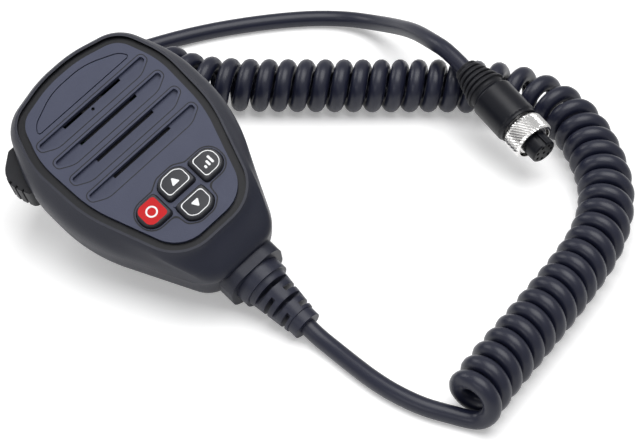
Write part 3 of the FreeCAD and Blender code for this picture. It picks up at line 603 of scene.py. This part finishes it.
@dataclass
class Keypad:
    """Four rubber keys with printed outlines and marks, and the lines round them: a dark band of painted shade
    and a divider rib.
    """

    low: float = 26.0
    flange: float = 0.9
    rim: float = 0.35
    proud: float = 1.5
    soft_edge: float = 0.75
    outline_out: float = 1.05
    outline_in: float = 1.32
    field_inset: float = 0.95
    groove_wide: float = 0.42
    middles: dict[str, tuple[float, float]] = field(default_factory=lambda: {
        "key_up": (0.0, -21.2), "key_down": (0.0, -31.0),
        "key_power": (11.4, -23.6), "key_channel": (-11.4, -23.6)})

    def corners(self, name: str) -> list[Corner]:
        """Corners of one key in the face's own axes.

        Args:
            name: CAD node of the key.

        Returns:
            Its corners.
        """
        x, y = self.middles[name]
        if name == "key_up":
            shape = [(-5.4, -3.9, 1.2), (5.4, -3.9, 1.2), (5.4, 2.2, 3.0),
                     (2.6, 4.3, 4.0), (-2.6, 4.3, 4.0), (-5.4, 2.2, 3.0)]
        elif name == "key_down":
            shape = [(-2.6, -4.3, 4.0), (2.6, -4.3, 4.0), (5.4, -2.2, 3.0),
                     (5.4, 3.9, 1.2), (-5.4, 3.9, 1.2), (-5.4, -2.2, 3.0)]
        else:
            side = 1.0 if name == "key_power" else -1.0
            shape = [(-4.6 * side, -4.6, 1.3), (4.6 * side, -4.6, 4.2), (4.6 * side, 4.6, 4.2),
                     (-4.6 * side, 4.6, 1.3)]
            if side < 0:
                shape.reverse()
        return [(x + cx, y + cy, r) for cx, cy, r in shape]

    def printed(self, name: str, inset: float) -> list[Vector]:
        """Outline of a print on a key's face, with softer corners than the key's own.

        Args:
            name: CAD node of the key.
            inset: Distance from the key's rim.

        Returns:
            Points in millimetres.
        """
        soft = 2.4 if name == "key_channel" else 3.4
        return rounded([(x, y, min(max(r, 1.2), soft)) for x, y, r in moved_in(self.corners(name), inset)])

    def build(self) -> None:
        """Make the keys, their print and the lines round them."""
        top = FACE + self.proud
        for name in self.middles:
            self.build_key(name, top)
        self.build_marks(top)
        cluster: list[Corner] = [
            (-3.0, -36.2, 4.5), (3.0, -36.2, 4.5), (6.4, -33.8, 3.0), (7.0, -29.2, 2.0), (16.9, -29.2, 5.0),
            (16.9, -18.0, 5.0), (6.8, -18.0, 2.0), (3.2, -15.9, 4.0), (-3.2, -15.9, 4.0), (-6.8, -18.0, 2.0),
            (-16.9, -18.0, 5.0), (-16.9, -29.2, 5.0), (-7.0, -29.2, 2.0), (-6.4, -33.8, 3.0),
        ]
        # Dark band round the key cluster: painted shade for the gap round the keys.
        groove = band(rounded(cluster), rounded(moved_in(cluster, self.groove_wide)),
                      FACE - SCRIBE_SUNK, FACE + SCRIBE_PROUD)
        hand_in(settle(groove, MIC), "keypad_painted_shade", SHADE_PAINTED_ABS, "housing", "casing")
        rib = [(-5.5, -27.2, 0.3), (5.5, -27.2, 0.3), (5.5, -26.4, 0.3), (-5.5, -26.4, 0.3)]
        bar = block(rounded(rib), FACE - 0.2, FACE + 0.5, 0.15)
        hand_in(settle(bar, MIC), "key_divider", PANEL_ABS, "housing", "casing")

    def build_key(self, name: str, top: float) -> None:
        """Model one key: flange, neck and a face with a soft edge.

        Args:
            name: CAD node and body of the key.
            top: Height of its face.
        """
        key = plaque(rounded(self.corners(name), -self.rim), self.low)
        bpy.ops.object.mode_set(mode="EDIT")
        bpy.ops.mesh.select_mode(type="FACE")
        bpy.ops.mesh.select_all(action="SELECT")
        raise_face(self.flange)
        bpy.ops.mesh.inset(thickness=self.rim * MM)
        raise_face(top - self.low - self.flange)
        bpy.ops.mesh.bevel(offset=self.soft_edge * MM, segments=5, affect="EDGES")
        bpy.ops.mesh.select_all(action="SELECT")
        bpy.ops.mesh.normals_make_consistent(inside=False)
        bpy.ops.object.mode_set(mode="OBJECT")
        bpy.ops.object.shade_smooth_by_angle(angle=math.radians(40))
        slot = "key_red" if name == "key_channel" else "key"
        hand_in(settle(key, MIC), name + "_cap", KEY_RUBBER, name, slot, name)

    def build_marks(self, top: float) -> None:
        """Print the white outlines, the red field and the marks.

        Args:
            top: Height of the keys' faces.
        """
        for name in ("key_up", "key_down", "key_power"):
            line = band(self.printed(name, self.outline_out), self.printed(name, self.outline_in),
                        top - PRINT_SUNK, top + 0.02)
            hand_in(settle(line, MIC), name + "_outline", INK, name, "key")
        red = block(self.printed("key_channel", self.field_inset), top - PRINT_SUNK, top + 0.03)
        hand_in(settle(red, MIC), "key_channel_field", RED_RUBBER, "key_channel", "key_red")
        for name, way in (("key_up", 1.0), ("key_down", -1.0)):
            hand_in(settle(self.arrow(name, way, top), MIC), name + "_arrow", INK, name, "key")
        hand_in(settle(self.bars(top), MIC), "key_power_bars", INK, "key_power", "key")
        ring = band(self.circle("key_channel", 1.9), self.circle("key_channel", 1.35), top + 0.01, top + 0.05)
        hand_in(settle(ring, MIC), "key_channel_ring", INK, "key_channel", "key_red")

    def arrow(self, name: str, way: float, top: float) -> bpy.types.Object:
        """Make a printed triangle.

        Args:
            name: CAD node of the key that carries it.
            way: 1 for upwards, -1 for downwards.
            top: Height of the key's face.

        Returns:
            The mark in the microphone's axes.
        """
        x, y = self.middles[name]
        y += 0.1 * way
        corners = [(x - 1.5, y - 1.1 * way, 0.12), (x + 1.5, y - 1.1 * way, 0.12), (x, y + 1.5 * way, 0.12)]
        if way < 0:
            corners.reverse()
        return block(rounded(corners, 0.0, 3), top - PRINT_SUNK, top + 0.025)

    def bars(self, top: float) -> bpy.types.Object:
        """Make the three printed bars, each taller than the last.

        Args:
            top: Height of the key's face.

        Returns:
            The mark in the microphone's axes.
        """
        x, y = self.middles["key_power"]
        low = y - 1.5
        bars = []
        for i, tall in enumerate((1.1, 2.0, 2.9)):
            left = x - 1.9 + 1.35 * i
            right = left + 0.8
            corners = [(left, low, 0.1), (right, low, 0.1), (right, low + tall, 0.1), (left, low + tall, 0.1)]
            bars.append(block(rounded(corners, 0.0, 2), top - PRINT_SUNK, top + 0.025))
        return joined(bars)

    def circle(self, name: str, radius: float, around: int = 40) -> list[Vector]:
        """Points of a circle round a key's middle.

        Args:
            name: CAD node of the key.
            radius: Radius of the circle.
            around: Count of points.

        Returns:
            Points in millimetres.
        """
        x, y = self.middles[name]
        angles = [math.tau * i / around for i in range(around)]
        return [Vector((x + radius * math.cos(angle), y + radius * math.sin(angle))) for angle in angles]


@dataclass
class TalkBar:
    """Ribbed push-to-talk bar on the left side."""

    edge: float = 0.3

    def build(self) -> None:
        """Make the bar with rounded ribs."""
        hand_in(softened("ptt_button", self.edge), "talk_bar", GRIP_RUBBER, "ptt", "grip_rubber", "ptt_button")


@dataclass
class Hanger:
    """Stud on the back."""

    edge: float = 0.3

    def build(self) -> None:
        """Make the stud with softened edges."""
        hand_in(softened("hanger_stud", self.edge, 3), "back_stud", INNER, "housing", "stud", "hanger_stud")


@dataclass
class Cord:
    """Lead, coil and tail as one smooth line with a round section."""

    diameter: float = 5.6
    length: float = 2.36
    curl_radius: float = 6.3
    curl_pitch: float = 6.15 * 1.035
    points_per_turn: int = 14

    def spline(self, name: str, points: list[Vector], resolution: int) -> bpy.types.Object:
        """Make a smooth curve with the given control points.

        Args:
            name: Name of the curve.
            points: Control points in metres.
            resolution: Steps between neighbouring control points.

        Returns:
            The curve's object.
        """
        curve = bpy.data.curves.new(name, "CURVE")
        curve.dimensions = "3D"
        curve.resolution_u = resolution
        line = curve.splines.new("NURBS")
        line.points.add(len(points) - 1)
        for spot, point in zip(line.points, points):
            spot.co = (*point, 1.0)
        line.order_u = 3
        line.use_endpoint_u = True
        line.resolution_u = resolution
        obj = bpy.data.objects.new(name, curve)
        bpy.context.scene.collection.objects.link(obj)
        return obj

    def helix(self) -> list[Vector]:
        """Points of the curls, read along the coil's own middle line.

        Returns:
            Control points in metres.
        """
        guide = self.spline("coil_middle", [Vector(p) * MM for p in COIL_ROUTE], 64)
        bpy.context.view_layer.update()
        mesh = bpy.data.meshes.new_from_object(guide)
        middle = [v.co.copy() for v in mesh.vertices]
        bpy.data.objects.remove(guide)
        bpy.data.meshes.remove(mesh)
        radius = self.curl_radius * MM
        angles = [0.0]
        for i in range(1, len(middle)):
            step = (middle[i] - middle[i - 1]).length
            bend = 0.0
            if i + 1 < len(middle):
                before, after = middle[i] - middle[i - 1], middle[i + 1] - middle[i]
                bend = before.angle(after) / step if before.length > 0 and after.length > 0 else 0.0
            angles.append(angles[-1] + math.tau * step * (1.0 - radius * bend) / (self.curl_pitch * MM))
        turns = round(angles[-1] / math.tau)
        scale = math.tau * turns / angles[-1]
        count = turns * self.points_per_turn
        # Control points stand outside the smooth line they shape, so they sit a little further out.
        reach = radius / ((1 + math.cos(math.pi / self.points_per_turn)) / 2) * 1.005
        points = []
        k = 1
        for n in range(count + 1):
            angle = math.tau * n / self.points_per_turn
            while k < len(angles) - 1 and angles[k] * scale < angle:
                k += 1
            share = (angle / scale - angles[k - 1]) / (angles[k] - angles[k - 1])
            spot = middle[k - 1].lerp(middle[k], min(share, 1.0))
            ahead = (middle[k] - middle[k - 1]).normalized()
            right = ahead.cross(Vector((0, 0, 1)))
            points.append(spot + right * (reach * math.sin(angle)) - Vector((0, 0, reach * math.cos(angle))))
        log.info("coil of %d turns", turns)
        return points

    @staticmethod
    def level(way: Vector) -> Vector:
        """A direction laid flat on the ground, with length 1."""
        return Vector((way.x, way.y, 0.0)).normalized()

    def build(self, plug_pieces: list[bpy.types.Object]) -> None:
        """Args:
            plug_pieces: Pieces of the plug on its far end; not used.
        """
        curls = self.helix()
        start_way = self.level(curls[1] - curls[0])
        end_way = self.level(curls[-1] - curls[-2])
        root = MIC @ Vector((0, -(COLLAR_END - 4) * MM, BOOT_HEIGHT * MM))
        tip = MIC @ Vector((0, -(COLLAR_END + BOOT_LONG) * MM, BOOT_HEIGHT * MM))
        away = (tip - root).normalized()
        lead_end = curls[0] - start_way * (self.diameter * MM)
        tail_start = curls[-1] + end_way * (self.diameter * MM)
        plug_way = (PLUG_END - PLUG_START).normalized()
        points = [root, tip, tip + away * 5.0 * MM]
        points += [Vector(p) * MM for p in LEAD_ROUTE]
        points += [lead_end - start_way * 8.0 * MM, lead_end] + curls + [tail_start]
        points += [Vector(p) * MM for p in TAIL_ROUTE]
        points += [PLUG_START - plug_way * 9.0 * MM, PLUG_START + plug_way * 1.0 * MM]
        cord = self.spline("curly_cable", points, 4)
        cord.data.bevel_depth = self.diameter * MM / 2
        cord.data.bevel_resolution = 5
        cord.data.use_fill_caps = True
        bpy.context.view_layer.update()
        hand_in(cord, "curly_cable", CORD_JACKET, "housing", "cord_jacket",
                "cord_lead", "curly_cord", "cord_tail", "cable_core")


@dataclass
class CableBoot:
    """Slotted strain relief where the cord leaves the casing."""

    edge: float = 0.28

    def build(self) -> None:
        """Make the tapered relief with soft slots."""
        hand_in(softened("strain_relief", self.edge), "cable_boot", BOOT_RUBBER, "housing", "boot_rubber",
                "strain_relief")


@dataclass
class Plug:
    """Round screw-on plug with its knurled nut."""

    nut_start: float = 29.2
    nut_long: float = 7.0
    nut_radius: float = 7.3
    thread_radius: float = 6.0
    around: int = 80
    rows: int = 9
    knurl_deep: float = 0.42
    end_drop: float = 0.55
    barrel_hole: float = 5.4

    def place(self) -> Matrix:
        """Placement of the plug's own axes, whose Z runs from the cable to the open end."""
        way = (PLUG_END - PLUG_START).normalized()
        return Matrix.Translation(PLUG_START) @ way.to_track_quat("Z", "Y").to_matrix().to_4x4()

    def build(self) -> list[bpy.types.Object]:
        """Make the plug.

        Returns:
            Its pieces, which are handed to the cord.
        """
        relief = hand_in(softened("plug_strain_relief", 0.3), "plug_relief", GRIP_RUBBER, "housing",
                         "boot_rubber", "plug_strain_relief")
        grip = hand_in(softened("plug_body", 0.3, 3), "plug_grip", PLUG_PLASTIC, "housing", "plug_plastic",
                       "plug_body")
        barrel = hand_in(softened("plug_barrel", 0.12), "plug_sleeve", NICKEL, "housing", "nickel",
                         "plug_barrel")
        core = hand_in(softened("plug_insert", 0.12), "plug_core", PLUG_PLASTIC, "housing", "plug_plastic",
                       "plug_insert")
        return [relief, grip, barrel, core, self.build_nut(), frame["nodes"]["plug_contacts"],
                frame["nodes"]["nut_ring"]]

    def build_nut(self) -> bpy.types.Object:
        """Model the nut: a ring whose outer wall is raised in diamonds.

        Returns:
            The finished piece.
        """
        bpy.ops.object.select_all(action="DESELECT")
        bpy.ops.mesh.primitive_cylinder_add(vertices=self.around, radius=(self.nut_radius - 0.35) * MM,
                                            depth=self.nut_long * MM, end_fill_type="NGON",
                                            location=(0, 0, (self.nut_start + self.nut_long / 2) * MM))
        nut = bpy.context.object
        bpy.ops.object.transform_apply(location=True)
        low, high = self.nut_start * MM, (self.nut_start + self.nut_long) * MM
        bpy.ops.object.mode_set(mode="EDIT")
        for i in range(1, self.rows):
            bpy.ops.mesh.select_all(action="SELECT")
            height = low + (high - low) * i / self.rows
            bpy.ops.mesh.bisect(plane_co=(0, 0, height), plane_no=(0, 0, 1))
        mesh = bmesh.from_edit_mesh(nut.data)
        for vertex in mesh.verts:
            row = round((vertex.co.z - low) / (high - low) * self.rows)
            column = round(math.atan2(vertex.co.y, vertex.co.x) / math.tau * self.around)
            reach = self.nut_radius
            if row in (0, self.rows):
                reach -= self.end_drop
            elif (row + column) % 2:
                reach -= self.knurl_deep
            spread = reach * MM / math.hypot(vertex.co.x, vertex.co.y)
            vertex.co.x *= spread
            vertex.co.y *= spread
        bmesh.update_edit_mesh(nut.data)
        bpy.ops.mesh.select_mode(type="FACE")
        bpy.ops.mesh.select_all(action="DESELECT")
        mesh = bmesh.from_edit_mesh(nut.data)
        for face in mesh.faces:
            face.select_set(abs(face.normal.z) > 0.9 and face.calc_center_median().z > high - 1e-6)
        bmesh.update_edit_mesh(nut.data)
        bpy.ops.mesh.inset(thickness=(self.nut_radius - self.end_drop - self.thread_radius) * MM)
        raise_face(-(self.nut_long - 2.0))
        bpy.ops.mesh.inset(thickness=0.6 * MM)
        raise_face(-1.0)
        mesh = bmesh.from_edit_mesh(nut.data)
        bmesh.ops.delete(mesh, geom=[f for f in mesh.faces if f.select], context="FACES_ONLY")
        floor = [f for f in mesh.faces if f.normal.z < -0.9 and f.calc_center_median().z < low + 1e-6]
        lip_wide = (self.nut_radius - self.end_drop - self.barrel_hole) * MM
        bmesh.ops.inset_region(mesh, faces=floor, thickness=lip_wide)
        bmesh.ops.delete(mesh, geom=[f for f in floor if f.is_valid], context="FACES")
        open_edges = [e for e in mesh.edges if e.is_boundary]
        bmesh.ops.bridge_loops(mesh, edges=open_edges)
        bmesh.update_edit_mesh(nut.data)
        bpy.ops.mesh.select_all(action="SELECT")
        bpy.ops.mesh.normals_make_consistent(inside=False)
        bpy.ops.object.mode_set(mode="OBJECT")
        bpy.ops.object.shade_flat()
        modify(nut, "BEVEL", width=0.06 * MM, segments=1, limit_method="ANGLE", angle_limit=math.radians(25))
        return hand_in(settle(nut, self.place()), "knurled_nut", NICKEL, "nut", "nickel", "coupling_nut")


@dataclass(frozen=True)
class Lamp:
    """A square soft lamp: its name, place in metres, width in metres and power in watts."""

    name: str
    spot: Point
    size: float
    power: float


LAMPS = (
    Lamp("top_softbox", (0.1, -0.1, 1.0), 0.9, 10.0),
    Lamp("back_softbox", (-0.2, 0.9, 0.6), 0.5, 2.5),
    Lamp("left_softbox", (-0.9, -0.1, 0.5), 0.4, 1.2),
)


@dataclass
class Studio:
    """Camera, floor and lamps."""

    lens: float = 107.8
    floor_glow: float = 0.3
    eye: Point = (-279.3, -329.4, 427.9)
    aim: Point = (40.5, -22.7, 0.0)

    def build_camera(self) -> None:
        """Stand the camera where the photograph was taken from."""
        data = bpy.data.cameras.new("view")
        data.lens = self.lens
        data.sensor_width = 36.0
        data.clip_start = 0.01
        camera = bpy.data.objects.new("view", data)
        bpy.context.scene.collection.objects.link(camera)
        eye, aim = Vector(self.eye) * MM, Vector(self.aim) * MM
        camera.location = eye
        camera.rotation_euler = (aim - eye).to_track_quat("-Z", "Y").to_euler()
        bpy.context.scene.camera = camera

    def build_floor(self) -> None:
        """Lay the pale floor."""
        bpy.ops.object.select_all(action="DESELECT")
        bpy.ops.mesh.primitive_plane_add(size=6.0, location=(0, 0, -0.0001))
        floor = bpy.context.object
        floor.name = "floor"
        material = bpy.data.materials.new("white_paper")
        material.use_nodes = True
        tree = material.node_tree
        tree.nodes.clear()
        diffuse = add_node(tree, "ShaderNodeBsdfDiffuse", {"Color": linear("#F7F7F7")})
        rays = add_node(tree, "ShaderNodeLightPath").outputs
        seen = add_node(tree, "ShaderNodeMath", {0: rays["Is Camera Ray"], 1: rays["Is Glossy Ray"]},
                        operation="MAXIMUM").outputs[0]
        seen = add_node(tree, "ShaderNodeMath", {0: seen, 1: rays["Is Transmission Ray"]},
                        operation="MAXIMUM").outputs[0]
        seen = add_node(tree, "ShaderNodeMath", {0: seen, 1: self.floor_glow}, operation="MULTIPLY").outputs[0]
        glow = add_node(tree, "ShaderNodeEmission", {"Color": (1.0, 1.0, 1.0, 1.0), "Strength": seen})
        both = add_node(tree, "ShaderNodeAddShader", {0: diffuse.outputs[0], 1: glow.outputs[0]})
        add_node(tree, "ShaderNodeOutputMaterial", {"Surface": both.outputs[0]})
        floor.data.materials.append(material)

    def build_light(self) -> None:
        """Hang soft lamps and set the world's fill."""
        world = bpy.data.worlds.new("studio")
        bpy.context.scene.world = world
        world.use_nodes = True
        tree = world.node_tree
        tree.nodes.clear()
        rays = add_node(tree, "ShaderNodeLightPath").outputs
        seen = add_node(tree, "ShaderNodeMath", {0: rays["Is Camera Ray"], 1: rays["Is Transmission Ray"]},
                        operation="MAXIMUM").outputs[0]
        seen = add_node(tree, "ShaderNodeMath", {0: rays["Is Glossy Ray"], 1: 0.5, 2: seen},
                        operation="MULTIPLY_ADD").outputs[0]
        fill = add_node(tree, "ShaderNodeMath", {0: seen, 1: 0.8, 2: 0.2}, operation="MULTIPLY_ADD").outputs[0]
        light = add_node(tree, "ShaderNodeBackground", {"Color": (1.0, 1.0, 1.0, 1.0), "Strength": fill})
        add_node(tree, "ShaderNodeOutputWorld", {"Surface": light.outputs[0]})
        target = Vector((0.04, 0, 0))
        for lamp in LAMPS:
            data = bpy.data.lights.new(lamp.name, "AREA")
            data.size = lamp.size
            data.energy = lamp.power
            obj = bpy.data.objects.new(lamp.name, data)
            bpy.context.scene.collection.objects.link(obj)
            obj.location = lamp.spot
            obj.rotation_euler = (target - Vector(lamp.spot)).to_track_quat("-Z", "Y").to_euler()
        bpy.context.scene.view_settings.view_transform = "Standard"


def dress_nodes() -> None:
    """Give every CAD node that stays its own finish."""
    for name, finish in NODE_FINISHES.items():
        node = frame["nodes"][name]
        node.data.materials.clear()
        node.data.materials.append(finish.make())
        log.info("%s in %s", name, finish.name)


def main() -> None:
    """Build the whole scene in order."""
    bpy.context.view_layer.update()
    studio = Studio()
    studio.build_camera()
    plug_pieces = Plug().build()
    Cord().build(plug_pieces)
    CableBoot().build()
    Casing().build()
    Keypad().build()
    TalkBar().build()
    Hanger().build()
    dress_nodes()
    studio.build_floor()
    studio.build_light()
    bpy.context.view_layer.update()


if __name__ == "__main__":
    logging.basicConfig(level=logging.INFO, format="%(message)s")
    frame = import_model()
    main()
